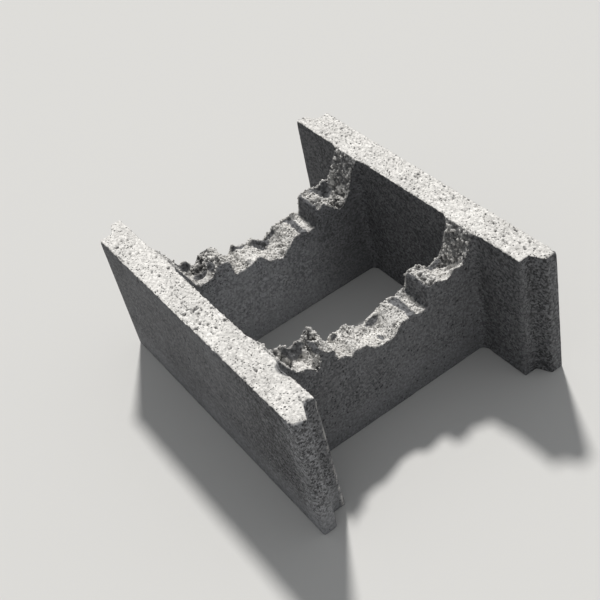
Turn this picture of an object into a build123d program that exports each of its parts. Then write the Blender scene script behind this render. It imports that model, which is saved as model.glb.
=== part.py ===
from build123d import *
import os

# A formwork block of pressed concrete, lying on its bed: two side walls along X,
# two cross webs between them, and cells that are open at the top and the bottom.
# The origin is the middle of the bed, and +X points to the end with the outer tongues.

# Overall sizes
block_length = 500.0
block_width = 400.0
block_height = 200.0

# Side walls, webs and cells, measured at the top bed
wall_thickness = 45.0
web_thickness = 44.0
web_pitch = 246.0
draft_angle = 1.0
cell_corner_radius = 12.0

# End joint: a tongue over one half of each wall's thickness, beside a shoulder
tongue_reach = 20.0
tongue_thickness = 20.0
tongue_slant = 9.0
tongue_root_radius = 5.0
arris_radius = 3.0

# Top of a web, as seen along X, from the middle out to a side wall
trough_height = 117.0
trough_width = 20.0
trough_radius = 14.0
crest_height = 136.0
crest_slope = 9.0
crest_radius = 6.0
bar_spacing = 124.0
bar_seat_height = 129.0
bar_seat_width = 16.0
bar_seat_radius = 6.0
horn_height = 159.0
horn_flank = 5.0
horn_width = 19.0
horn_radius = 6.0
side_valley_height = 145.0
side_valley_slope = 12.0
side_valley_width = 22.0
side_valley_radius = 9.0
wall_ledge = 2.0

# Lip along the -X edge of each web: how far it stands above the trough and above the side
# valleys, and the smooth slope from it down to their floors
trough_lip = 8.0
side_valley_lip = 9.0
lip_thickness = 3.0
lip_slope = 14.0
lip_radius = 6.0

# How far a cut runs past the block, so that it leaves no skin
cut_margin = 10.0

# Places that follow from the sizes above
half_length = block_length / 2
half_width = block_width / 2
cell_half_width = half_width - wall_thickness
shoulder_x = half_length - tongue_reach
tongue_y = half_width - tongue_thickness
slant_y = tongue_y - tongue_slant

# Plan of one half of the block, from the middle of the +X end round to the other end
plan_corners = [
    (shoulder_x, 0),
    (shoulder_x, slant_y),
    (half_length, tongue_y),
    (half_length, half_width),
    (-shoulder_x, half_width),
    (-shoulder_x, tongue_y),
    (-half_length, slant_y),
    (-half_length, 0),
]
plan_radii = [
    tongue_root_radius,
    tongue_root_radius,
    arris_radius,
    arris_radius,
    tongue_root_radius,
    tongue_root_radius,
]

# Places across a web
bar_y = bar_spacing / 2
seat_start_y = bar_y - bar_seat_width / 2
seat_end_y = bar_y + bar_seat_width / 2
horn_y = seat_end_y + horn_flank
valley_y = horn_y + horn_width + side_valley_slope
saddle_end_y = cell_half_width - wall_ledge
saddle_top = block_height + cut_margin
saddle_radii = [
    trough_radius,
    crest_radius,
    bar_seat_radius,
    bar_seat_radius,
    horn_radius,
    horn_radius,
    side_valley_radius,
    side_valley_radius,
]


def saddle_face(trough_floor, side_valley_floor):
    """What is open above a web, as seen along X. From the middle out, its corners before they are
    rounded are trough, crest, bar seat, horn, side valley, and the rise to the side wall."""
    corners = [
        (trough_width / 2, trough_floor),
        (seat_start_y - crest_slope, crest_height),
        (seat_start_y, bar_seat_height),
        (seat_end_y, bar_seat_height),
        (horn_y, horn_height),
        (horn_y + horn_width, horn_height),
        (valley_y, side_valley_floor),
        (valley_y + side_valley_width, side_valley_floor),
        (saddle_end_y, block_height),
    ]
    mirrored_corners = [(-y, z) for y, z in reversed(corners)]
    with BuildSketch(Plane.YZ) as saddle:
        with BuildLine():
            FilletPolyline(*mirrored_corners, *corners, radius=[*reversed(saddle_radii), *saddle_radii])
            Polyline(
                (-saddle_end_y, block_height),
                (-saddle_end_y, saddle_top),
                (saddle_end_y, saddle_top),
                (saddle_end_y, block_height),
            )
        make_face()
    return saddle.sketch


# Stretches across a web that have a lip: middle, half width, floor, and height of the lip
horn_middle_y = horn_y + horn_width / 2
valley_middle_y = (horn_middle_y + cell_half_width) / 2
valley_reach = (cell_half_width - horn_middle_y) / 2
lip_stretches = [
    (0, seat_start_y, trough_height, trough_lip),
    (-valley_middle_y, valley_reach, side_valley_height, side_valley_lip),
    (valley_middle_y, valley_reach, side_valley_height, side_valley_lip),
]

# Hollows beside the lips: open from each lip's inner slope to the web's +X face and past it,
# and as deep as the floors of the trough and the side valleys
with BuildPart() as hollows:
    for middle_y, reach, floor_height, lip in lip_stretches:
        with BuildSketch(Plane.XZ.offset(-middle_y)):
            for web_x in (-web_pitch / 2, web_pitch / 2):
                lip_x = web_x - web_thickness / 2 + lip_thickness
                open_x = web_x + web_thickness / 2 + cut_margin
                with BuildLine():
                    FilletPolyline(
                        (lip_x, saddle_top),
                        (lip_x, floor_height + lip),
                        (lip_x + lip_slope, floor_height),
                        (open_x, floor_height),
                        radius=lip_radius,
                    )
                    Polyline((open_x, floor_height), (open_x, saddle_top), (lip_x, saddle_top))
                make_face()
        extrude(amount=reach, both=True)
    extrude(saddle_face(trough_height, side_valley_height), amount=half_length, both=True, mode=Mode.INTERSECT)

with BuildPart() as formwork_block:
    # Blank with its end joints, full height
    with BuildSketch():
        with BuildLine():
            FilletPolyline(*plan_corners, radius=plan_radii)
            mirror(about=Plane.XZ)
        make_face()
    extrude(amount=block_height)

    # Middle cell, which narrows towards the bed
    with BuildSketch(Plane.XY.offset(block_height)):
        RectangleRounded(web_pitch - web_thickness, 2 * cell_half_width, cell_corner_radius)
    extrude(amount=-block_height, taper=draft_angle, mode=Mode.SUBTRACT)

    # End cells, open at the ends of the block, with rounded corners at the webs
    end_cell_start = (web_pitch + web_thickness) / 2
    end_cell_length = half_length + cut_margin - end_cell_start
    for side in (-1, 1):
        with BuildSketch(Plane.XY.offset(block_height)) as end_cell:
            with Locations((side * (end_cell_start + end_cell_length / 2), 0)):
                Rectangle(end_cell_length, 2 * cell_half_width)
            web_corners = end_cell.vertices().group_by(Axis.X)[0 if side > 0 else -1]
            fillet(web_corners, radius=cell_corner_radius)
        extrude(amount=-block_height, taper=draft_angle, mode=Mode.SUBTRACT)

    # Saddle across both webs at the height of their lips, with the seats for two bars
    lip_line = saddle_face(trough_height + trough_lip, side_valley_height + side_valley_lip)
    extrude(lip_line, amount=half_length + cut_margin, both=True, mode=Mode.SUBTRACT)
    add(hollows.part, mode=Mode.SUBTRACT)

formwork_block.part.label = "formwork_block"

os.makedirs("parts", exist_ok=True)
export_step(formwork_block.part, "parts/formwork_block.step")
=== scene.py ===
"""Looks of a permanent formwork block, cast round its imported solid.

The block is one casting, so its skin is one closed surface: the tops of the walls and webs are patches on
two parameters, and their edges are carried down to the bed. Loose-looking grains stand on the open tops.
"""

import math

import bpy
import numpy as np
from mathutils import Matrix, Vector


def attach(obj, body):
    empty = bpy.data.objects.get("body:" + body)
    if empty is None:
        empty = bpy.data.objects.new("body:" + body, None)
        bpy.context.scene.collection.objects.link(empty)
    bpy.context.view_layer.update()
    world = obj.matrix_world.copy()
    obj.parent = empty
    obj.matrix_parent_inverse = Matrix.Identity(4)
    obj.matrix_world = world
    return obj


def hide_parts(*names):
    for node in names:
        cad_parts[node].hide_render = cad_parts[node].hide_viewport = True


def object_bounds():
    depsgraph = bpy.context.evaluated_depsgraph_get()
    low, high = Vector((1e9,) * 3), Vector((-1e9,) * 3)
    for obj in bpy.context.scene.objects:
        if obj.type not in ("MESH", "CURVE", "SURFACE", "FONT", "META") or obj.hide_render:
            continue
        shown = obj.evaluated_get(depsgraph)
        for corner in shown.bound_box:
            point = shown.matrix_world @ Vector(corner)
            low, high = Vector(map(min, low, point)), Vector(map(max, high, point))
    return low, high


bl_info = {
    "name": "Permanent Formwork Block",
    "version": (1, 0, 0),
    "blender": (4, 5, 0),
    "location": "3D View > Sidebar > Formwork Block",
    "description": "Casts a formwork block of pressed concrete with saddle-topped webs round its solid",
    "category": "Object",
}

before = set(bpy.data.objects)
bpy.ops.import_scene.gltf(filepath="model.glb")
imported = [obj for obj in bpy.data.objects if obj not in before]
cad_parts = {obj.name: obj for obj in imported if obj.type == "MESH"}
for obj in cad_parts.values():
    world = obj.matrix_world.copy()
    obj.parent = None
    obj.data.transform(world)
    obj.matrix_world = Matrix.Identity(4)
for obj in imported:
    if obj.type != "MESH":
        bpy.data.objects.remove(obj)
CAD_LOW, CAD_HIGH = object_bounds()

MM = 0.001
NODE = "formwork_block"
BODY = "root"
CASTING = "block_casting"

# Places where a web's top stands higher or lower than its mould: middle along and across the block, reach
# and height, in millimetres
HEAPS = (
    (101, 133, 14, -8), (101, 112, 16, -9), (101, 63, 11, 6), (101, -6, 14, -6), (101, -30, 12, 5),
    (101, -52, 9, 7), (101, -82, 14, 11), (101, -104, 12, 5), (101, -125, 15, 15),
    (145, 122, 17, 17), (145, 106, 10, 6), (145, 28, 10, 5), (145, -30, 12, 4), (145, -64, 12, 9),
    (145, -92, 8, 11), (125, -89, 11, 7), (108, -88, 9, 4), (142, -100, 8, -7), (124, -101, 9, -3),
    (145, -124, 22, 12), (119, -112, 10, -3), (136, 45, 13, -4), (110, 45, 13, -4),
    (-110, 45, 13, -4), (-136, 45, 13, -4), (-133, -5, 9, -4), (-130, 110, 12, -4), (-119, -114, 9, -6),
    (-145, 120, 11, 6), (-145, 58, 11, 8), (-145, 26, 10, 4), (-145, 4, 8, -4), (-145, -14, 12, 7),
    (-145, -47, 9, 7), (-145, -109, 10, -8), (-145, -122, 9, 7),
    (-101, 114, 15, -10), (-101, 97, 9, -7), (-101, 80, 8, -6), (-101, 32, 10, 4), (-101, 5, 11, -5),
    (-101, -27, 12, 8), (-101, -45, 8, -5),
)

# Ovals on the webs' tops: middle along and across the block, and half widths, in millimetres. In some the
# mould's plug pressed the concrete smooth, and their darker grey is partly painted shade; in others it
# smeared the paste and left it pale
PRESSED = (
    (-139, -5, 8, 14), (-142, 14, 5, 11), (-142, -38, 5, 11), (-136, 110, 13, 18),
    (-142, -126, 7, 10), (-119, -114, 6, 11), (-112, -98, 12, 5),
    (106, -110, 8, 16), (129, -92, 20, 4), (107, 8, 4, 11), (104, -50, 4, 4), (135, 0, 7, 3),
    (106, 116, 5, 13),
)
SMEARED = (
    (130, -110, 18, 14), (132, 107, 17, 16), (124, 26, 10, 16),
    (-131, 12, 5, 9), (-116, -34, 12, 13), (-118, 60, 14, 9), (-107, -112, 11, 15), (-126, -125, 10, 5),
)

# The larger pits in the tops of the walls and webs, in the same form
HOLES = (
    (216, 178, 3, 2), (211, 191, 3, 2), (182, 195, 3, 2), (151, 186, 2, 2), (130, 191, 2, 2),
    (-97, -177, 3, 2), (-101, -160, 3, 2), (-27, -183, 2, 2), (-3, -176, 2, 6), (-5, -192, 2, 3),
    (24, -186, 3, 2), (29, -194, 3, 2), (33, -179, 2, 2), (42, -160, 2, 3), (46, -175, 3, 2),
    (201, -185, 2, 2), (219, -169, 2, 2), (227, -164, 3, 2),
    (113, -41, 3, 3), (104, -33, 3, 2), (111, -7, 4, 3), (138, 3, 3, 3), (136, 22, 3, 3),
    (119, 20, 3, 2), (130, -88, 3, 2), (115, -83, 3, 3), (119, 87, 3, 3), (136, 78, 3, 3),
    (143, 83, 3, 2),
    (-129, 21, 3, 3), (-114, 14, 4, 3), (-124, 18, 3, 2), (-122, -1, 4, 3), (-125, -8, 3, 3),
    (-126, -39, 3, 3), (-130, -113, 5, 4), (-122, -107, 5, 4), (-117, -91, 3, 4), (-111, -85, 3, 3),
    (-114, 76, 3, 3), (-111, 88, 3, 3),
)

# Places where an upper edge has broken away: middle along and across the block, reach and radius, in
# millimetres
CHIPS = ((165, -155, 20, 11), (246, 198, 9, 5), (247, -195, 14, 7), (227, -165, 9, 8))

# Every coarse-th point of an edge goes on below the first rows of an upright face
COARSE = 5
UPPER_ROWS = np.array([0, 1.0, 2.2, 3.8, 6.0, 9.0]) * MM
LOWER_ROWS = np.array([3.2, 1.2, 0]) * MM
FACE_ROWS = 24

# Points of the skin that fall in the same small cube are one point. The cubes' side and start are odd
# numbers, so that modelled lengths seldom lie on the border between two cubes
WELD_SIDE = 0.0107 * MM
WELD_START = 0.137


# Sizes and colours that a user can change

def length(name, description, default):
    """A length, with its default given in millimetres."""
    return bpy.props.FloatProperty(
        name=name, description=description, default=default * MM, unit="LENGTH")


def colour(name, description, default):
    """A colour, as shares of red, green and blue."""
    return bpy.props.FloatVectorProperty(
        name=name, description=description, default=default, subtype="COLOR", min=0, max=1)


class FormworkSizes(bpy.types.PropertyGroup):
    """Sizes of the walls, webs and end joints, as in the solid."""

    wall: length("Side wall", "Thickness of a side wall at the top bed", 45)
    web: length("Web", "Thickness of a cross web at the top bed", 44)
    web_pitch: length("Web pitch", "Distance between the middles of the two webs", 246)
    draft: bpy.props.FloatProperty(
        name="Draft", description="Lean of the faces inside the cells, thicker towards the bed",
        default=math.radians(1.0), subtype="ANGLE")
    corner: length("Cell corner", "Radius of the upright corners of the cells", 12)
    tongue: length("Tongue reach", "How far an end's tongue stands past its shoulder", 20)
    tongue_half: length("Tongue thickness", "Thickness of the outer tongue", 20)
    slant: length("Tongue slant", "Width of the slanting face between tongue and shoulder", 9)
    arris: length("Upright arris", "Rounding of the upright edges at the ends", 3)


class SaddleSizes(bpy.types.PropertyGroup):
    """Sizes of the saddle in the top of each web, from the middle out to a side wall."""

    trough_height: length("Trough height", "Height of the lowest part of a web", 117)
    trough_width: length("Trough width", "Width of the floor of the trough", 20)
    crest_height: length("Crest height", "Height of the low crest between trough and bar seat", 136)
    crest_slope: length("Crest slope", "Run of the slope from the crest down to the bar seat", 9)
    bar_spacing: length("Bar spacing", "Distance between the two bar seats", 124)
    seat_height: length("Bar seat height", "Height of a bar seat's floor", 129)
    seat_width: length("Bar seat width", "Width of a bar seat's floor", 16)
    horn_height: length("Horn height", "Height of the horn beside a bar seat", 159)
    horn_flank: length("Horn flank", "Run of the steep flank from the seat up to the horn", 5)
    horn_width: length("Horn width", "Width of the horn's top", 19)
    valley_height: length("Side valley height", "Height of the valley between horn and wall", 145)
    valley_slope: length("Side valley slope", "Run of the slope from the horn into the valley", 12)
    valley_width: length("Side valley width", "Width of the valley's floor", 22)
    trough_lip: length("Trough lip", "How far the lip stands above the trough's floor", 8)
    valley_lip: length("Side valley lip", "How far the lip stands above a side valley's floor", 9)
    lip_thickness: length("Lip thickness", "Thickness of the lip along the -X edge of a web", 3)
    lip_slope: length("Lip slope", "Run of the smooth slope from the lip down to the floor", 14)
    ledge: length("Ledge", "Web left at full height beside each wall", 2)


class ConcreteRelief(bpy.types.PropertyGroup):
    """Heights and spacings of the concrete's relief."""

    station: length("Station", "Distance between points along the walls' tops", 1.6)
    saddle_station: length("Saddle station", "Distance between points along the webs' tops", 1.0)
    web_wave: length("Web wave", "Height of the long swells on the tops of the webs", 1.1)
    web_lump: length("Web lumps", "Height of the lumps on the tops of the webs", 2.6)
    web_grain: length("Web grain", "Height of the grains that show in the tops of the webs", 1.9)
    web_pit: length("Web pits", "Depth of the pits in the tops of the webs", 3.0)
    web_bowl: length("Web bowls", "Depth of the round pits where the tops of the webs are roughest", 3.2)
    web_crease: length("Web creases", "Depth of the thin creases between the lumps on the webs", 1.8)
    wall_pit: length("Wall pits", "Depth of the pits in the tops of the walls", 2.4)
    grain_count: bpy.props.IntProperty(
        name="Grains", description="Loose grains on the top of each web", default=2000)
    wall_grain_count: bpy.props.IntProperty(
        name="Wall grains", description="Loose grains on the tops of both walls", default=1600)
    face_wave: length("Face wave", "Depth of the slight hollows in the pressed faces", 0.5)


class ConcreteColours(bpy.types.PropertyGroup):
    """Colours of the concrete."""

    # The top grey is far paler than the face grey: partly the open concrete's own paler colour, partly
    # painted sunlight on the tops and painted shade on the faces
    face_grey: colour(
        "Face grey", "Concrete on the faces that the mould pressed smooth", (0.197, 0.199, 0.206))
    top_grey: colour(
        "Top grey", "Paler open concrete on the tops of walls and webs", (0.77, 0.752, 0.722))
    # Painted shade: the colour that pores and hollows are darkened towards
    painted_hollow_shade: colour("Pore grey", "Dark inside the pores", (0.05, 0.05, 0.053))


class StageSettings(bpy.types.PropertyGroup):
    """Floor, lights and camera."""

    floor_colour: colour("Floor colour", "Plain pale floor", (0.66, 0.655, 0.64))
    key_strength: bpy.props.FloatProperty(
        name="Key strength", description="Strength of the soft key light", default=3.1)
    key_from: bpy.props.FloatVectorProperty(
        name="Key from", description="Direction that the key light comes from",
        default=(-0.53, 0.33, 0.78), subtype="DIRECTION")
    sky_strength: bpy.props.FloatProperty(
        name="Sky strength", description="Strength of the even light from all round", default=0.34)
    camera_place: bpy.props.FloatVectorProperty(
        name="Camera place", description="Where the camera stands",
        default=(1.0125, -0.5180, 1.1017), subtype="TRANSLATION", unit="LENGTH")
    camera_aim: bpy.props.FloatVectorProperty(
        name="Camera aim", description="Point that the camera looks at",
        default=(-0.0192, -0.0236, 0.1), subtype="TRANSLATION", unit="LENGTH")
    camera_roll: bpy.props.FloatProperty(
        name="Camera roll", description="Turn of the camera about its own line of sight",
        default=math.radians(-14.46), subtype="ANGLE")
    focal_length: bpy.props.FloatProperty(
        name="Focal length", description="Lens of the camera, in millimetres", default=66.47)


# Noise on whole arrays of points

def hashed(cells, seed):
    """One number from 0 to 1 for each whole-number cell: the cell's three numbers times large odd
    numbers, added up, with the bits of the sum mixed by shifts and products."""
    mixed = (cells.astype(np.int64) * np.array([374761393, 668265263, 1440662683])).sum(axis=-1)
    mixed = ((mixed + seed * 974634777) & 0xFFFFFFFF).astype(np.uint64)
    for factor in (1274126177, 2654435769):
        mixed = ((mixed ^ (mixed >> np.uint64(15))) * np.uint64(factor)) & np.uint64(0xFFFFFFFF)
    return (mixed ^ (mixed >> np.uint64(14))).astype(float) / 0xFFFFFFFF


def ramp(value, start, end):
    """0 at start, 1 at end, and 3t^2 - 2t^3 between them."""
    share = np.clip((value - start) / (end - start), 0, 1)
    return share * share * (3 - 2 * share)


def band(value, start, full, less, end):
    """1 from full to less, falling smoothly to 0 at start and at end."""
    return ramp(value, start, full) * ramp(value, end, less)


def noise(points, cell, seed, layers=1):
    """Values from about -1 to 1 that change smoothly: random values at the corners of cubes of side cell,
    mixed along each axis by 3t^2 - 2t^3. Each further layer has half the cell and half the height."""
    total = np.zeros(len(points))
    for layer in range(layers):
        scaled = points * 2**layer / cell
        base = np.floor(scaled)
        share = ramp(scaled - base, 0, 1)
        value = np.zeros(len(points))
        for corner in np.ndindex(2, 2, 2):
            weight = np.where(np.array(corner) == 1, share, 1 - share).prod(axis=1)
            value += weight * hashed(base + corner, seed + layer)
        total += (2 * value - 1) / 2**layer
    return total


def domes(points, cell, seed):
    """Rounded lumps from 0 to 1, one round each scattered point of a grid of cubes of side cell: the
    square root of 1 less the square of the distance, times a random height."""
    scaled = points / cell
    base = np.floor(scaled)
    nearest = np.full(len(points), np.inf)
    height = np.zeros(len(points))
    for offset in np.ndindex(3, 3, 3):
        cube = base + offset - 1
        centre = cube + np.stack([hashed(cube, seed + axis) for axis in range(3)], axis=1)
        distance = np.linalg.norm(scaled - centre, axis=1)
        closer = distance < nearest
        nearest = np.where(closer, distance, nearest)
        height = np.where(closer, hashed(cube, seed + 3), height)
    return np.sqrt(np.clip(1 - (nearest / 0.9) ** 2, 0, 1)) * (0.35 + 0.65 * height)


# Lines and curves that the casting follows

def rounded_line(corners, radii, steps=8):
    """A line of straight runs whose corners are arcs: the arc's centre lies on the line that halves the
    corner, at the radius over the cosine of half the turn."""
    corners = np.array(corners)
    points = [corners[:1]]
    for before, here, after, radius in zip(corners[:-2], corners[1:-1], corners[2:], radii):
        inward = (before - here) / np.linalg.norm(before - here)
        outward = (after - here) / np.linalg.norm(after - here)
        half_turn = (math.pi - math.acos(inward @ outward)) / 2
        halfway = (inward + outward) / np.linalg.norm(inward + outward)
        across = (outward - inward) / np.linalg.norm(outward - inward)
        centre = here + halfway * radius / math.cos(half_turn)
        angle = np.linspace(-half_turn, half_turn, steps)[:, None]
        points.append(centre + radius * (np.sin(angle) * across - np.cos(angle) * halfway))
    return np.concatenate([*points, corners[-1:]])


def inner_face(sizes):
    """Y of the +Y wall's inner face at the top bed."""
    return CAD_HIGH.y - sizes.wall


def seat_places(saddle):
    """How far from a web's middle a bar seat starts and ends, and where its steep flank reaches the horn."""
    start = (saddle.bar_spacing - saddle.seat_width) / 2
    end = start + saddle.seat_width
    return start, end, end + saddle.horn_flank


def saddle_outline(sizes, saddle, trough, valley):
    """Across-and-up points of a web's top from one wall to the other, with floors at the given heights."""
    half_cell = inner_face(sizes)
    seat_start, seat_end, horn = seat_places(saddle)
    valley_start = horn + saddle.horn_width + saddle.valley_slope
    outer = [
        (saddle.trough_width / 2, trough),
        (seat_start - saddle.crest_slope, saddle.crest_height),
        (seat_start, saddle.seat_height),
        (seat_end, saddle.seat_height),
        (horn, saddle.horn_height),
        (horn + saddle.horn_width, saddle.horn_height),
        (valley_start, valley),
        (valley_start + saddle.valley_width, valley),
        (half_cell - saddle.ledge, CAD_HIGH.z),
        (half_cell, CAD_HIGH.z),
    ]
    radii = [radius * MM for radius in (14, 6, 6, 6, 6, 6, 9, 9, 1)]
    inner = [(-across, up) for across, up in reversed(outer)]
    return rounded_line(inner + outer, radii[::-1] + radii)


def saddle_stations(sizes, saddle, spacing):
    """Places across a web at even distances along its top, with the floor's and the lip's height there."""
    floor = saddle_outline(sizes, saddle, saddle.trough_height, saddle.valley_height)
    lip = saddle_outline(
        sizes, saddle, saddle.trough_height + saddle.trough_lip, saddle.valley_height + saddle.valley_lip)
    runs = np.linalg.norm(np.diff(floor, axis=0), axis=1)
    travelled = np.concatenate([[0], np.cumsum(runs)])
    wanted = np.linspace(0, travelled[-1], steps_for(travelled[-1], spacing) + 1)
    across = np.interp(wanted, travelled, floor[:, 0])
    floor_height = np.interp(wanted, travelled, floor[:, 1])
    lip_height = np.interp(across, lip[:, 0], lip[:, 1])
    return across[:, None], floor_height[:, None], lip_height[:, None]


def steps_for(distance, spacing):
    """Steps of about the spacing in a distance, a whole number of times the coarse step."""
    return COARSE * max(1, round(distance / spacing / COARSE))


def quarter(radius, distance):
    """How far a quarter circle falls back from the face beside it, at a distance in from its other face."""
    inside = np.clip(radius - distance, 0, radius)
    return radius - np.sqrt(radius**2 - inside**2)


def worn(radius, distance):
    """How far a worn edge falls back at a distance along the face: an arc of 45 degrees to each side."""
    return radius * (1 - np.cos(math.pi / 4 * np.clip(1 - distance / radius, 0, 1)))


# The casting's skin

class Patch:
    """The top of a wall or a web on a grid: its plan at the top bed, how each point leans into the cells
    for one unit of lean, its height, and its distance from the nearest edge."""

    def __init__(self, slope, plan, lean, top, inset):
        self.slope = slope
        self.grids = (plan, lean, top, inset)
        self.plan, self.lean, self.top, self.inset = self.grids

    def at(self, height):
        """The points at a height: the plan, moved by the lean times the slope and the depth."""
        depth = (CAD_HIGH.z - height)[..., None]
        moved = self.plan + self.lean * self.slope * depth
        return np.concatenate([moved, np.broadcast_to(height[..., None], (*moved.shape[:-1], 1))], axis=-1)

    def part(self, *places):
        """Some rows and columns of the patch, or one line of it."""
        return Patch(self.slope, *(grid[places] for grid in self.grids))


def web_foot(sizes):
    """Half the width of a web where it meets a wall: half the web and the corner's radius."""
    return sizes.web / 2 + sizes.corner


def wall_stations(sizes, relief):
    """Stations along a wall, and the numbers of the stations where a run starts: end cell, foot of a
    web, middle cell, foot of a web, end cell."""
    foot = web_foot(sizes)
    middle = sizes.web_pitch / 2
    stops = [CAD_LOW.x, -middle - foot, -middle + foot, middle - foot, middle + foot,
             CAD_HIGH.x - sizes.tongue]
    along = [stops[:1]]
    starts = [0]
    for number, (start, end) in enumerate(zip(stops[:-1], stops[1:])):
        at_web = number % 2 == 1
        steps = steps_for(end - start, relief.station)
        if at_web:
            steps = steps_for(sizes.web, relief.saddle_station)
        along.append(np.linspace(start, end, steps + 1)[1:])
        starts.append(starts[-1] + steps)
    return np.concatenate(along), starts


def wall_patch(sizes, relief, side):
    """Top of a side wall. Along X, the stations; across, from the inner face to the outer one. Near the
    ends the outer half is moved on by the tongue's reach, and the arrises fall back on quarter circles."""
    inner = inner_face(sizes)
    along, _ = wall_stations(sizes, relief)
    across = np.linspace(inner, CAD_HIGH.y, steps_for(sizes.wall, relief.station) + 1)
    fade = 45 * MM
    near = ramp(along, along[-1] - fade, along[-1])[:, None]
    far = 1 - ramp(along, along[0], along[0] + fade)[:, None]
    slant_end = CAD_HIGH.y - sizes.tongue_half
    slant_start = slant_end - sizes.slant
    soft = 1.6 * MM
    shift = sizes.tongue * ramp(across, slant_start - soft, slant_end + soft)
    loss = quarter(sizes.arris, CAD_HIGH.y - across) + quarter(sizes.arris / 2, across - inner)
    x = along[:, None] + (near + far) * shift - (near - far) * loss
    y = np.broadcast_to(across, x.shape)

    from_web = np.clip(np.abs(np.abs(along) - sizes.web_pitch / 2)[:, None] / web_foot(sizes), 0, 1)
    leaning = -np.clip((slant_start - across) / (slant_start - inner), 0, 1) * from_web
    inset = np.minimum(np.hypot(y - inner, (1 - from_web) * web_foot(sizes)), CAD_HIGH.y - y)
    inset = np.minimum(inset, np.minimum(along[-1] - along, along - along[0])[:, None])
    plan = np.stack([x, side * y], axis=-1)
    lean = np.stack([np.zeros_like(x), side * leaning], axis=-1)
    return Patch(math.tan(sizes.draft), plan, lean, np.full(x.shape, CAD_HIGH.z), inset)


def web_patch(sizes, saddle, relief, middle):
    """Top of a web. Along the saddle's line, and across it from one face to the other. Beside a wall each
    face flares out on a quarter circle, whose points lean towards the circle's centre. The lip falls to
    the floor with what is left of its slope, to the power of 1.5."""
    across, floor, lip = saddle_stations(sizes, saddle, relief.saddle_station)
    share = np.linspace(-1, 1, steps_for(sizes.web, relief.saddle_station) + 1)
    start = inner_face(sizes) - sizes.corner
    run = np.clip(np.abs(across) - start, 0, sizes.corner)
    rest = np.sqrt(sizes.corner**2 - run**2)
    half = web_foot(sizes) - rest
    y = np.broadcast_to(across, (len(across), len(share)))
    lean_x = share * rest / sizes.corner
    lean_y = -np.abs(share) * np.sign(y) * run / sizes.corner
    plan = np.stack([middle + half * share, y], axis=-1)
    lean = np.stack([lean_x, lean_y], axis=-1)
    down = np.clip((half * share + sizes.web / 2 - saddle.lip_thickness) / saddle.lip_slope, 0, 1)
    top = floor + (lip - floor) * (1 - down) ** 1.5
    top = top + uneven(plan, relief) * ramp(run, sizes.corner, 0)
    return Patch(math.tan(sizes.draft), plan, lean, top, (1 - np.abs(share)) * half)


def uneven(plan, relief):
    """How much higher than its mould a web's top stands: long swells, and heaps that fall off as the
    square of 1 less the square of the distance over the reach."""
    level = np.concatenate([plan, np.zeros_like(plan[..., :1])], axis=-1).reshape(-1, 3)
    rise = relief.web_wave * noise(level, 26 * MM, 11, 2).reshape(plan.shape[:-1])
    for along, across, reach, height in HEAPS:
        distance = np.linalg.norm(plan - np.array([along, across]) * MM, axis=-1) / (reach * MM)
        rise += height * MM * np.clip(1 - distance**2, 0, 1) ** 2
    return rise


class Skin:
    """Gathers grids of points with their facts, and gives one welded mesh."""

    def __init__(self):
        self.points = []
        self.facts = []
        self.faces = []
        self.count = 0

    def number(self, grid, top, web, skirt, margin):
        """Adds a grid's points and gives their numbers, in the grid's layout. The facts are whether they
        are on a top, a web or an upright face, their distance from the upper edge, and their height."""
        facts = [top, web, skirt, margin, grid[..., 2]]
        facts = np.stack([np.broadcast_to(fact, grid.shape[:2]) for fact in facts], axis=-1)
        self.points.append(grid.reshape(-1, 3))
        self.facts.append(facts.reshape(len(self.points[-1]), -1))
        numbers = self.count + np.arange(len(self.points[-1])).reshape(grid.shape[:2])
        self.count += numbers.size
        return numbers

    def add_faces(self, corners, flip):
        """Adds faces from lists of their corners, turned over if flip says so."""
        faces = np.stack(corners, axis=-1).reshape(-1, len(corners))
        self.faces.append(faces[:, ::-1] if flip else faces)

    def fill(self, numbers, flip):
        """Faces of four points between the rows and columns of a grid of numbers."""
        corners = [numbers[:-1, :-1], numbers[:-1, 1:], numbers[1:, 1:], numbers[1:, :-1]]
        self.add_faces(corners, flip)

    def top(self, patch, web, flip):
        """The patch's top, and its bed below with fewer stations."""
        self.fill(self.number(patch.at(patch.top), 1, web, 0, patch.inset), flip)
        thin = patch.part(slice(None, None, COARSE), slice(None, None, COARSE if web else 1))
        self.fill(self.number(thin.at(np.zeros_like(thin.top)), 0, web, 0, 1.0), not flip)

    def skirt(self, edge, web, flip, coarse=COARSE):
        """An edge carried down to the bed: its first rows keep all points, then one row of wide faces
        leaves every coarse-th point, and even rows go on from there."""
        fine = self.number(edge.at(edge.top - UPPER_ROWS[:, None]), 0, web, 1, UPPER_ROWS[:, None])
        self.fill(fine, flip)
        thin = edge.part(slice(None, None, coarse), Ellipsis)
        share = np.linspace(0, 1, FACE_ROWS + 1)[1:, None]
        rows = (thin.top - UPPER_ROWS[-1]) * (1 - share) + LOWER_ROWS[0] * share
        rows = np.concatenate([rows, np.broadcast_to(LOWER_ROWS[1:, None], (2, rows.shape[1]))])
        lower = self.number(thin.at(rows), 0, web, 1, thin.top - rows)
        self.fill(lower, flip)
        cells = (lower.shape[1] - 1) * coarse
        wide = [fine[-1, step:step + cells:coarse] for step in range(coarse + 1)]
        self.add_faces([*wide, lower[0, 1:], lower[0, :-1]], flip)

    def welded(self):
        """Points, facts and faces, where points in the same small cube are one. A welded point has the
        highest of each fact."""
        points = np.concatenate(self.points)
        keys = np.round(points / WELD_SIDE + WELD_START).astype(np.int64)
        _, first, number = np.unique(keys, axis=0, return_index=True, return_inverse=True)
        number = number.reshape(-1)
        facts = np.zeros((len(first), self.facts[0].shape[1]))
        np.maximum.at(facts, number, np.concatenate(self.facts))
        return points[first], facts, [number[block] for block in self.faces]


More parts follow.
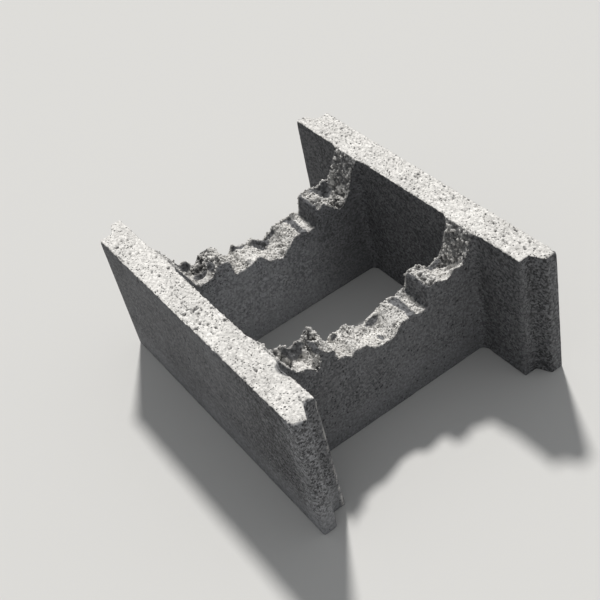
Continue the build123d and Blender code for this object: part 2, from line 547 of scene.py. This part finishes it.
def cast_skin(sizes, saddle, relief):
    """All patches of the block with their skirts."""
    skin = Skin()
    for middle in (-sizes.web_pitch / 2, sizes.web_pitch / 2):
        web = web_patch(sizes, saddle, relief, middle)
        skin.top(web, True, flip=False)
        skin.skirt(web.part(slice(None), 0), True, flip=False)
        skin.skirt(web.part(slice(None), -1), True, flip=True)
    _, starts = wall_stations(sizes, relief)
    for side in (-1, 1):
        wall = wall_patch(sizes, relief, side)
        left = side > 0
        skin.top(wall, False, flip=left)
        skin.skirt(wall.part(slice(None), -1), False, flip=not left)
        skin.skirt(wall.part(-1, slice(None)), False, flip=left, coarse=1)
        skin.skirt(wall.part(0, slice(None)), False, flip=not left, coarse=1)
        for start, end in zip(starts[0::2], starts[1::2]):
            skin.skirt(wall.part(slice(start, end + 1), 0), False, flip=left)
    return skin.welded()


def inside_ovals(points, ovals):
    """How far inside the ovals a point is, from 0 to 1, with ragged borders."""
    x, y, _ = points.T / MM
    ragged = 0.22 * noise(points, 5 * MM, 101, 2)
    inside = np.zeros(len(points))
    for along, across, half_along, half_across in ovals:
        distance = np.hypot((x - along) / half_along, (y - across) / half_across)
        inside = np.maximum(inside, ramp(distance + ragged, 1.08, 0.85))
    return inside


def pressed_places(points, sizes, saddle):
    """How smooth the mould's plug left a web's top, from 0 to 1, in the ovals of PRESSED, on the flanks of
    the horns and on the crests' slopes down to the bar seats, all with ragged borders. The flanks and slopes
    are taken only on the +Y side, and the darker colour that pressed parts get is partly painted shade. Also
    how far a point is on the rise to a wall."""
    across = np.abs(points[:, 1])
    ragged = across + 2.4 * MM * noise(points, 6 * MM, 105, 2)
    seat_start, _, horn = seat_places(saddle)
    flank = band(ragged, horn - 10 * MM, horn - 7 * MM, horn + 2 * MM, horn + 4 * MM)
    slope = band(
        ragged, seat_start - 14 * MM, seat_start - 12 * MM, seat_start - 1 * MM, seat_start + 1 * MM)
    pressed = np.maximum(np.maximum(flank, slope) * (points[:, 1] > 0), inside_ovals(points, PRESSED))
    inner = inner_face(sizes)
    return pressed, ramp(across, inner - 26 * MM, inner - 18 * MM)


def porous_and_shaded_places(points, sizes):
    """How porous a pressed face is, from 0 to 1: little near the bed, where the mix is packed, more towards
    the +X end of the
    -Y wall and on the +Y wall's outer face, and most on that wall's other faces and in the slanting hollows
    of the ends. The material gives porous parts more pores and a darker tone, and on the +Y wall's faces and
    in the hollows that tone is painted shade."""
    x, y, z = points.T
    inner = inner_face(sizes)
    slant_end = CAD_HIGH.y - sizes.tongue_half
    across = np.abs(y)
    end = ramp(np.abs(x), CAD_HIGH.x - sizes.tongue - 12 * MM, CAD_HIGH.x - sizes.tongue - 2 * MM)
    hollow = band(across, slant_end - 18 * MM, slant_end - 11 * MM, slant_end, slant_end + 6 * MM)
    packed = ramp(z, 18 * MM, 70 * MM)
    plain = packed * (0.3 + 0.2 * noise(points, 30 * MM, 111, 2))
    near = ramp(x, 40 * MM, 190 * MM) * ramp(-y, inner, inner + 10 * MM) * packed * 0.85
    wall = ramp(y, inner - 14 * MM, inner) * (0.7 + 0.3 * hollow * end - 0.2 * end * (1 - hollow))
    outer = ramp(y, CAD_HIGH.y - 5 * MM, CAD_HIGH.y) * ramp(np.abs(x), CAD_HIGH.x, CAD_HIGH.x - 5 * MM)
    wall = wall * (1 - 0.45 * outer)
    return np.clip(np.maximum(np.maximum(plain, near), wall), 0, 1)


def painted_bounce_and_shade(points, sizes):
    """Painted bounce light and painted shade on the pressed faces, as a share: lighter on the +X face of the
    far web away from the +Y wall, on the +X end of the -Y wall and on that wall beside its bed, and darker
    on the inner face of the +Y wall and a little on the rest of the -Y wall."""
    x, y, z = points.T
    inner = inner_face(sizes)
    web_face = -sizes.web_pitch / 2 + sizes.web / 2
    far_web = ramp(np.abs(x - web_face), 12 * MM, 6 * MM) * ramp(y, 150 * MM, -20 * MM)
    far_web = far_web * ramp(-y, inner, inner - 5 * MM)
    left = ramp(-y, inner - 4 * MM, inner + 4 * MM)
    end = ramp(-y, inner + 2 * MM, inner + 16 * MM)
    end = end * ramp(x, CAD_HIGH.x - sizes.tongue - 8 * MM, CAD_HIGH.x - sizes.tongue)
    bed = left * ramp(z, 60 * MM, 15 * MM)
    right = band(y, inner - 5 * MM, inner, inner + 1 * MM, inner + 5 * MM)
    return 1.05 * far_web + 0.5 * end + (0.24 * bed - 0.12 * left) * (1 - end) - 0.22 * right


def chipped(points):
    """Radius that an upper edge has lost in the places of CHIPS: it falls off as 1 less the square of the
    distance over the reach."""
    radius = np.zeros(len(points))
    for along, across, reach, depth in CHIPS:
        distance = np.hypot(points[:, 0] - along * MM, points[:, 1] - across * MM) / (reach * MM)
        radius = np.maximum(radius, depth * MM * np.clip(1 - distance**2, 0, 1))
    return radius


def edge_loss(points, facts, chip):
    """How far the edges have fallen back. The upper edges are worn to arcs of uneven radius, wider here and
    there along the walls and by the chips' radius, and the bed's edges to arcs of one radius."""
    _, web, skirt, margin, height = facts.T
    wear = 0.8 * MM + 1.4 * MM * noise(points, 8 * MM, 91, 2)
    wear = wear + 3.0 * MM * (1 - web) * ramp(noise(points, 22 * MM, 95, 2), 0.5, 0.9)
    wear = np.clip(wear, 0.3 * MM, None) + chip * (1 + 0.4 * noise(points, 6 * MM, 97))
    return worn(wear, margin) + worn(1.8 * MM, height) * skirt


def rough_places(points, margin, sizes, pressed, rise):
    """How rough a web's top is, from 0 to 1: less where it is pressed, on the rise to a wall, between the
    bar seats and in the ovals of SMEARED. Also how busy it is with bowls, away from the middle, and how far
    a point is on the rim of the lip."""
    far_half = points[:, 0] < np.sign(points[:, 0]) * sizes.web_pitch / 2
    rim = ramp(margin, 3.6 * MM, 1.4 * MM) * far_half
    busy = ramp(np.abs(points[:, 1]) + 14 * MM * noise(points, 20 * MM, 15), 50 * MM, 80 * MM)
    calm = np.maximum(0.35 * (1 - busy), 0.65 * inside_ovals(points, SMEARED))
    rough = np.maximum(1 - 0.8 * pressed, 0.45 * rim) * (1 - 0.4 * rise) * (1 - calm)
    return rough, busy, rim


def relief_of(points, facts, sizes, saddle, relief):
    """How far each point moves out along its normal, how open and how porous its concrete is, and how deep
    it lies in a hollow.
    The open share is partly painted sunlight, porous parts are darkened partly as painted shade, and the
    material darkens the deep parts as painted shade. The tops have domes, pits, and creases where a noise
    crosses 0, and the pressed faces have slight hollows."""
    top, web, skirt, margin, _ = facts.T
    inner = inner_face(sizes)
    on_web = web * ramp(np.abs(points[:, 1]), inner, inner - 4 * MM)
    pressed, rise = pressed_places(points, sizes, saddle)
    rough, busy, rim = rough_places(points, margin, sizes, pressed, rise)
    chip = chipped(points)

    lumps = domes(points + noise(points, 6 * MM, 21)[:, None] * MM, 8.0 * MM, 31) - 0.5
    grains = domes(points, 4.3 * MM, 41) - 0.45
    holes = inside_ovals(points, HOLES)
    pits = np.maximum(ramp(noise(points, 5.2 * MM, 51, 2), 0.5, 0.95), holes)
    bowls = busy * (1 - pressed) * ramp(domes(points, 5.8 * MM, 57), 0.38, 0.7)
    crease = ramp(np.abs(noise(points, 9 * MM, 55, 2)), 0.1, 0.01)
    web_top = relief.web_lump * lumps + relief.web_grain * grains - relief.web_pit * pits
    web_top = rough * (web_top - relief.web_bowl * bowls - relief.web_crease * crease)
    web_top = web_top + pressed * (1 - rim) * 1.1 * MM * noise(points, 8 * MM, 59, 2)

    rare = 0.66 - 0.22 * noise(points, 45 * MM, 65) - 0.08 * (points[:, 1] > 0)
    wall_pits = np.maximum(ramp(noise(points, 3.4 * MM, 61, 2), rare, rare + 0.3), holes)
    wall_top = -0.3 * MM * (1 + noise(points, 22 * MM, 71)) - relief.wall_pit * wall_pits
    wall_top = wall_top + (0.45 + 1.9 * ramp(margin, 2.4 * MM, 0)) * MM * (grains - 0.5)

    hollow = 0.5 * relief.face_wave * (noise(points, 16 * MM, 81, 2) - 1)
    edge = ramp(margin, 11 * MM, 0)
    ragged = edge * (web * rough * (1.8 * MM * grains + 1.2 * MM * lumps) - 0.5 * MM * wall_pits)
    ragged = ragged + (1 - web) * edge**3 * 2.2 * MM * (grains - 0.5)
    offset = top * (on_web * web_top + (1 - on_web) * wall_top) + (1 - top) * (hollow + ragged)
    offset = offset - edge_loss(points, facts, chip)

    # On the rise to a wall the top gets less of the pale open grey, as painted shade, except on the tops of
    # the grain domes, which stay pale as painted glints
    speck_and_glint = ramp(grains, -0.1, 0.25)
    web_open = np.maximum(1 - pressed, rim) * (1 - rise * (0.8 - 0.54 * speck_and_glint))
    open_top = on_web * web_open + 1 - on_web
    # The upper edges of the faces get pale specks, partly the worn edge's open concrete and partly painted
    # highlight, and the upright arris at the +X end of the -Y wall's inner face gets a pale line: painted
    # highlight
    open_face = 0.7 * speck_and_glint * ramp(margin, 2.6 * MM, 0) * (1 - pressed)
    arris = np.hypot(points[:, 0] - CAD_HIGH.x + sizes.tongue, points[:, 1] + inner)
    open_face = np.maximum(open_face, 0.55 * ramp(arris, 2.6 * MM, 1.2 * MM) * ramp(speck_and_glint, 0.2, 0.6))
    # Inside a chip the concrete loses most of its pale open grey: painted shade in the broken edge
    opened = np.where(top > 0.5, open_top, open_face) * (1 - 0.85 * ramp(chip - margin, 0, 3 * MM))
    # Deep marks creases, bowls, pits and a little of the pressed zones, which the material darkens: painted
    # shade in the hollows
    web_deep = rough * np.maximum(np.maximum(0.8 * crease, bowls), ramp(pits - 0.6 * lumps, 0.2, 0.9))
    web_deep = np.maximum(web_deep, 0.12 * pressed * (1 - rim))
    deep = top * (on_web * web_deep + (1 - on_web) * ramp(wall_pits, 0.2, 0.7))
    # Pressed zones and the rise to a wall are made porous, which darkens them: partly painted shade
    porous = top * on_web * np.maximum(0.6 * pressed, 0.6 * rise)
    porous = porous + (1 - top) * (0.3 + 0.7 * skirt) * porous_and_shaded_places(points, sizes)
    return offset, opened, porous, deep


def give_mesh(name, points, faces):
    """A smooth-shaded object of the points and faces."""
    mesh = bpy.data.meshes.new(name)
    mesh.from_pydata(points.tolist(), [], faces)
    mesh.shade_smooth()
    piece = bpy.data.objects.new(name, mesh)
    bpy.context.scene.collection.objects.link(piece)
    return piece


def give_attribute(mesh, name, values):
    """One number for each point of a mesh, for its material."""
    attribute = mesh.attributes.new(name, "FLOAT", "POINT")
    attribute.data.foreach_set("value", values.astype(np.float32))


def attribute_of(mesh, name):
    """The numbers that give_attribute gave a mesh."""
    values = np.empty(len(mesh.vertices), np.float32)
    mesh.attributes[name].data.foreach_get("value", values)
    return values


def points_of(mesh):
    """The mesh's points, as an array."""
    points = np.empty(len(mesh.vertices) * 3)
    mesh.vertices.foreach_get("co", points)
    return points.reshape(-1, 3)


def normals_of(mesh):
    """The mesh's point normals, as an array."""
    normals = np.empty(len(mesh.vertices) * 3, np.float32)
    mesh.vertex_normals.foreach_get("vector", normals)
    return normals.reshape(-1, 3).astype(float)


def inside_box(points):
    """The points, held inside the solid's box."""
    return np.clip(points, np.array(CAD_LOW), np.array(CAD_HIGH))


# Loose grains

def pebble_shape(segments=6, rings=4):
    """A sphere on a grid of longitudes and latitudes, with one point at each pole, and its faces."""
    latitude = np.linspace(0, math.pi, rings + 1)[1:-1, None]
    longitude = np.linspace(0, 2 * math.pi, segments, endpoint=False)
    ring = np.broadcast_arrays(
        np.sin(latitude) * np.cos(longitude), np.sin(latitude) * np.sin(longitude), np.cos(latitude))
    ring = np.stack(ring, axis=-1)
    points = np.concatenate([ring.reshape(-1, 3), [[0, 0, 1], [0, 0, -1]]])
    here = np.arange(segments)
    after = (here + 1) % segments
    faces = []
    for level in range(rings - 2):
        upper = level * segments
        lower = upper + segments
        faces.append(np.stack([lower + here, lower + after, upper + after, upper + here], axis=-1))
    north, south = len(points) - 2, len(points) - 1
    last = (rings - 2) * segments
    caps = [np.stack([here, after, np.full_like(here, north)], axis=-1),
            np.stack([last + after, last + here, np.full_like(here, south)], axis=-1)]
    return points, [*faces, *caps]


def turns(random, count):
    """Random turns, as matrices, from four random numbers each that are scaled to a length of 1."""
    numbers = random.normal(size=(4, count))
    w, x, y, z = numbers / np.linalg.norm(numbers, axis=0)
    rows = [
        [1 - 2 * (y * y + z * z), 2 * (x * y - w * z), 2 * (x * z + w * y)],
        [2 * (x * y + w * z), 1 - 2 * (x * x + z * z), 2 * (y * z - w * x)],
        [2 * (x * z - w * y), 2 * (y * z + w * x), 1 - 2 * (x * x + y * y)],
    ]
    return np.moveaxis(np.array(rows), -1, 0)


def scatter_grains(name, casting, wanted, count, spread, seed):
    """Joined grains half sunk into the casting at random points, where wanted gives each point's share.
    Each grain is the pebble with its corners moved in or out, squashed, turned and scaled. Its radius is
    the smallest one and a random share of the spread. A grain that stands out of the solid's box is moved
    back into it."""
    mesh = casting.data
    spots = points_of(mesh)
    random = np.random.default_rng(seed)
    chosen = random.choice(len(spots), size=count, replace=False, p=wanted / wanted.sum())
    shape, faces = pebble_shape()
    smallest = 0.7 * MM
    radius = (smallest + spread * random.random((count, 1)) ** 2.4)[..., None]
    uneven_corners = 1 + 0.24 * random.uniform(-1, 1, (count, len(shape), 1))
    squash = random.uniform((0.8, 0.65, 0.5), (1.15, 1.0, 0.8), (count, 3))[:, None, :]
    grains = (shape * uneven_corners * squash) @ turns(random, count) * radius
    sunk = radius[:, 0] * random.uniform(-0.5, 0.15, (count, 1))
    grains = grains + (spots[chosen] + normals_of(mesh)[chosen] * sunk)[:, None, :]
    grains -= np.clip(grains - np.array(CAD_HIGH), 0, None).max(axis=1, keepdims=True)
    grains += np.clip(np.array(CAD_LOW) - grains, 0, None).max(axis=1, keepdims=True)
    steps = (np.arange(count) * len(shape))[:, None, None]
    joined = [face for block in faces
              for face in (block + steps).reshape(-1, block.shape[1]).tolist()]
    piece = give_mesh(name, grains.reshape(-1, 3), joined)
    give_attribute(piece.data, "open", np.ones(count * len(shape)))
    give_attribute(piece.data, "tint_and_painted_light", np.repeat(random.uniform(-0.2, 0.12, count), len(shape)))
    piece.data.materials.append(mesh.materials[0])
    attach(piece, BODY)


# Materials

class Recipe:
    """Short ways to add nodes to a material."""

    def __init__(self, name):
        self.material = bpy.data.materials.new(name)
        self.material.use_nodes = True
        self.tree = self.material.node_tree
        self.tree.nodes.clear()

    def add(self, kind, inputs, **settings):
        """A node with its settings, and its inputs linked to sockets or set to values."""
        node = self.tree.nodes.new("ShaderNode" + kind)
        for name, value in settings.items():
            setattr(node, name, value)
        for name, value in inputs.items():
            if isinstance(value, bpy.types.NodeSocket):
                self.tree.links.new(value, node.inputs[name])
            else:
                node.inputs[name].default_value = value
        return node

    def sum(self, operation, first, second, third=0.0):
        """The result of one operation on numbers."""
        return self.add("Math", {0: first, 1: second, 2: third}, operation=operation).outputs[0]

    def stretch(self, value, low, high, to_low, to_high):
        """A value moved from one range to another, smoothly and held inside it."""
        inputs = {"Value": value, "From Min": low, "From Max": high, "To Min": to_low, "To Max": to_high}
        return self.add("MapRange", inputs, interpolation_type="SMOOTHSTEP").outputs["Result"]

    def blend(self, share, first, second, kind="MIX"):
        """Two colours mixed by a share. In a colour Mix node they are inputs 6 and 7."""
        inputs = {0: share, 6: first, 7: second}
        return self.add("Mix", inputs, data_type="RGBA", blend_type=kind).outputs[2]

    def cloud(self, place, size, detail):
        """Noise whose features are about a size across."""
        inputs = {"Vector": place, "Scale": 1 / size, "Detail": detail, "Roughness": 0.6}
        return self.add("TexNoise", inputs).outputs["Fac"]

    def cells(self, place, size):
        """Distance to the nearest scattered point, in cells, and a random number for each cell."""
        node = self.add("TexVoronoi", {"Vector": place, "Scale": 1 / size})
        parts = self.add("SeparateColor", {"Color": node.outputs["Color"]})
        return node.outputs["Distance"], parts.outputs["Red"]

    def pores(self, place, size, share, radius):
        """1 inside round pores and 0 outside: a share of the cells have one, each of its own radius. The
        share is a number or a socket."""
        distance, random = self.cells(place, size)
        reach = self.stretch(random, 0, share, radius, 0)
        return self.stretch(self.sum("SUBTRACT", reach, distance), -0.02, 0.07, 0, 1)

    def finished(self, inputs):
        """The material, with a principled shader of these inputs as its surface."""
        shader = self.add("BsdfPrincipled", inputs)
        self.add("OutputMaterial", {"Surface": shader.outputs["BSDF"]})
        return self.material


def concrete_material(colours):
    """Pressed concrete: grey and finely pored on the faces, pale and gritty where it is left open. The gap
    between the two greys is partly painted sunlight and painted shade, and pores and hollows are darkened as
    painted shade.
    """
    recipe = Recipe("pressed_concrete")
    place = recipe.add("TexCoord", {}).outputs["Object"]
    opened, deep, tint_and_painted_light, porous = (
        recipe.add("Attribute", {}, attribute_name=name).outputs["Fac"]
        for name in ("open", "deep", "tint_and_painted_light", "porous"))
    wobble = recipe.add("TexNoise", {"Vector": place, "Scale": 1 / (2.5 * MM)}).outputs["Color"]
    wobble = recipe.add("VectorMath", {0: wobble, 1: (0.5,) * 3}, operation="SUBTRACT").outputs[0]
    moved = recipe.add("VectorMath", {0: wobble, 1: (2.2 * MM,) * 3, 2: place}, operation="MULTIPLY_ADD")
    moved = moved.outputs[0]

    blotch = recipe.cloud(place, 60 * MM, 4.0)
    mottle = recipe.cloud(place, 3.6 * MM, 3.0)
    grain, sort = recipe.cells(moved, 2.6 * MM)
    coarse = recipe.sum("SUBTRACT", 1.0, opened)
    coarse = recipe.sum("MULTIPLY", coarse, porous)
    tone = recipe.stretch(blotch, 0.3, 0.7, 0.92, 1.08)
    tone = recipe.sum("MULTIPLY", tone, recipe.stretch(mottle, 0.34, 0.66, 0.82, 1.13))
    darkest = recipe.sum("MULTIPLY_ADD", coarse, -0.4, 0.84)
    palest = recipe.sum("MULTIPLY_ADD", coarse, 0.55, 1.12)
    tone = recipe.sum("MULTIPLY", tone, recipe.stretch(sort, 0, 1, darkest, palest))
    # Tint: each grain's own random tone, and on the casting painted bounce light and painted shade
    tone = recipe.sum("MULTIPLY", tone, recipe.sum("ADD", tint_and_painted_light, 1.0))
    # Porous parts are darker: partly their own pores, partly painted shade on the +Y wall's faces, in the
    # ends' slanting hollows, and in the webs' pressed zones and rise
    tone = recipe.sum("MULTIPLY", tone, recipe.sum("MULTIPLY_ADD", porous, -0.4, 1.0))
    tone = recipe.add("CombineColor", {0: tone, 1: tone, 2: tone}).outputs[0]
    fine = recipe.pores(moved, 2.8 * MM, recipe.sum("MULTIPLY_ADD", porous, 0.7, 0.06), 0.38)
    small = recipe.pores(moved, 4.6 * MM, recipe.sum("MULTIPLY_ADD", porous, 0.6, 0.08), 0.36)
    large = recipe.pores(moved, 12 * MM, recipe.sum("MULTIPLY_ADD", porous, 0.2, 0.16), 0.24)
    on_face = recipe.sum("MAXIMUM", fine, recipe.sum("MAXIMUM", small, large))
    on_top = recipe.pores(moved, 2.8 * MM, 0.52, 0.4)
    on_top = recipe.sum("MAXIMUM", on_top, recipe.pores(moved, 9 * MM, 0.3, 0.2))
    pitted = recipe.sum("MULTIPLY_ADD", opened, recipe.sum("SUBTRACT", on_top, on_face), on_face)
    # Open parts take the top grey and pressed parts the face grey, a difference that is partly painted
    # sunlight and painted shade
    grey = recipe.blend(opened, (*colours.face_grey, 1), (*colours.top_grey, 1))
    grey = recipe.blend(1.0, grey, tone, "MULTIPLY")
    # Pores and hollows are darkened towards the pore colour: painted shade where shade falls in them
    dark = recipe.sum("MULTIPLY", recipe.sum("MAXIMUM", pitted, deep), 0.88)
    grey = recipe.blend(dark, grey, (*colours.painted_hollow_shade, 1))

    grit = recipe.cloud(place, 1.3 * MM, 3.0)
    height = recipe.sum("MULTIPLY_ADD", pitted, -0.9, recipe.sum("MULTIPLY", grit, 0.4))
    gritty = recipe.sum("MULTIPLY", recipe.stretch(grain, 0.1, 0.8, 0.3, 0), opened)
    height = recipe.sum("ADD", height, gritty)
    bump = recipe.add("Bump", {"Height": height, "Distance": 1.0 * MM, "Strength": 1.0})
    return recipe.finished({
        "Base Color": grey, "Normal": bump.outputs["Normal"], "Roughness": 0.93, "Specular IOR Level": 0.2})


def floor_material(stage):
    """Plain matt floor."""
    recipe = Recipe("studio_floor")
    return recipe.finished({
        "Base Color": (*stage.floor_colour, 1), "Roughness": 0.95, "Specular IOR Level": 0.1})


# Operators

class FORMWORK_OT_casting(bpy.types.Operator):
    """Casts the block's skin with its relief, and hides the plain solid"""

    bl_idname = "formwork.casting"
    bl_label = "Cast Block"

    def execute(self, context):
        scene = context.scene
        sizes = scene.formwork_sizes
        saddle = scene.formwork_saddle
        relief = scene.formwork_relief
        points, facts, faces = cast_skin(sizes, saddle, relief)
        piece = give_mesh(CASTING, points, [face for block in faces for face in block.tolist()])
        offset, opened, porous, deep = relief_of(points, facts, sizes, saddle, relief)
        moved = inside_box(points + normals_of(piece.data) * offset[:, None])
        piece.data.vertices.foreach_set("co", moved.ravel())
        piece.data.update()
        upright = (1 - facts[:, 0]) * facts[:, 2]
        # The casting's tint is painted bounce light and painted shade on its upright faces
        tint_and_painted_light = painted_bounce_and_shade(points, sizes) * upright
        for name, values in (("open", opened), ("porous", porous), ("deep", deep), ("tint_and_painted_light", tint_and_painted_light)):
            give_attribute(piece.data, name, values)
        piece.data.materials.append(concrete_material(scene.formwork_colours))
        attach(piece, BODY)
        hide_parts(NODE)
        return {"FINISHED"}


class FORMWORK_OT_grains(bpy.types.Operator):
    """Sets loose-looking grains in the open tops of the webs and walls"""

    bl_idname = "formwork.grains"
    bl_label = "Set Grains"

    def execute(self, context):
        scene = context.scene
        relief = scene.formwork_relief
        casting = bpy.data.objects[CASTING]
        points = points_of(casting.data)
        x, y, _ = points.T
        opened = attribute_of(casting.data, "open")
        deep = attribute_of(casting.data, "deep")
        smeared = inside_ovals(points, SMEARED)
        ready = opened.astype(float) ** 2 * (1 - 0.7 * smeared) * (1 - deep)
        on_web = np.abs(y) < inner_face(scene.formwork_sizes) - 3 * MM
        count = relief.grain_count
        scatter_grains("grains_web_far", casting, ready * on_web * (x < 0), count, 2.0 * MM, 5)
        scatter_grains("grains_web_near", casting, ready * on_web * (x > 0), count, 2.0 * MM, 6)
        scatter_grains("grains_walls", casting, ready * ~on_web, relief.wall_grain_count, 0.9 * MM, 7)
        return {"FINISHED"}


class FORMWORK_OT_stage(bpy.types.Operator):
    """Sets the floor, the lights and the camera"""

    bl_idname = "formwork.stage"
    bl_label = "Set Stage"

    def execute(self, context):
        scene = context.scene
        stage = scene.formwork_stage
        reach = 12.0
        corners = np.array([[-reach, -reach, 0], [reach, -reach, 0], [reach, reach, 0], [-reach, reach, 0]])
        floor = give_mesh("studio_floor", corners, [[0, 1, 2, 3]])
        floor.data.materials.append(floor_material(stage))

        sun = bpy.data.lights.new("key_light", "SUN")
        sun.energy = stage.key_strength
        sun.angle = math.radians(6)
        sun.color = (1.0, 0.985, 0.96)
        key = bpy.data.objects.new("key_light", sun)
        key.rotation_euler = Vector(stage.key_from).to_track_quat("Z", "Y").to_euler()
        scene.collection.objects.link(key)

        world = bpy.data.worlds.new("studio_sky")
        world.use_nodes = True
        tree = world.node_tree
        sky = tree.nodes["Background"]
        sky.inputs["Color"].default_value = (0.96, 0.98, 1.0, 1)
        sky.inputs["Strength"].default_value = stage.sky_strength
        shown = tree.nodes.new("ShaderNodeBackground")
        shown.inputs["Color"].default_value = (0.8, 0.8, 0.79, 1)
        path = tree.nodes.new("ShaderNodeLightPath")
        seen = path.outputs["Is Camera Ray"]
        for kind in ("Is Glossy Ray", "Is Transmission Ray"):
            either = tree.nodes.new("ShaderNodeMath")
            either.operation = "MAXIMUM"
            tree.links.new(seen, either.inputs[0])
            tree.links.new(path.outputs[kind], either.inputs[1])
            seen = either.outputs[0]
        mix = tree.nodes.new("ShaderNodeMixShader")
        tree.links.new(seen, mix.inputs[0])
        tree.links.new(sky.outputs[0], mix.inputs[1])
        tree.links.new(shown.outputs[0], mix.inputs[2])
        tree.links.new(mix.outputs[0], tree.nodes["World Output"].inputs["Surface"])
        scene.world = world

        lens = bpy.data.cameras.new("photo_camera")
        lens.lens = stage.focal_length
        lens.clip_start = 0.01
        camera = bpy.data.objects.new("photo_camera", lens)
        sight = Vector(stage.camera_aim) - Vector(stage.camera_place)
        turn = sight.to_track_quat("-Z", "Y").to_matrix() @ Matrix.Rotation(stage.camera_roll, 3, "Z")
        camera.matrix_world = Matrix.LocRotScale(Vector(stage.camera_place), turn.to_quaternion(), None)
        scene.collection.objects.link(camera)
        scene.camera = camera
        scene.view_settings.view_transform = "Standard"
        return {"FINISHED"}


class FORMWORK_PT_panel(bpy.types.Panel):
    """Lists the steps that make the block"""

    bl_idname = "FORMWORK_PT_panel"
    bl_label = "Formwork Block"
    bl_space_type = "VIEW_3D"
    bl_region_type = "UI"
    bl_category = "Formwork Block"

    def draw(self, context):
        for operator in OPERATORS:
            self.layout.operator(operator.bl_idname)


SETTINGS = {
    "formwork_sizes": FormworkSizes,
    "formwork_saddle": SaddleSizes,
    "formwork_relief": ConcreteRelief,
    "formwork_colours": ConcreteColours,
    "formwork_stage": StageSettings,
}
OPERATORS = (FORMWORK_OT_casting, FORMWORK_OT_grains, FORMWORK_OT_stage)


def register():
    """Adds the settings to the scene, and the operators and the panel to Blender."""
    for name, group in SETTINGS.items():
        bpy.utils.register_class(group)
        setattr(bpy.types.Scene, name, bpy.props.PointerProperty(type=group))
    for part in (*OPERATORS, FORMWORK_PT_panel):
        bpy.utils.register_class(part)


def unregister():
    """Takes away what register added."""
    for part in (FORMWORK_PT_panel, *reversed(OPERATORS)):
        bpy.utils.unregister_class(part)
    for name, group in reversed(SETTINGS.items()):
        delattr(bpy.types.Scene, name)
        bpy.utils.unregister_class(group)


def main():
    """Makes the block and its stage."""
    register()
    bpy.ops.formwork.casting()
    bpy.ops.formwork.grains()
    bpy.ops.formwork.stage()


if __name__ == "__main__":
    main()
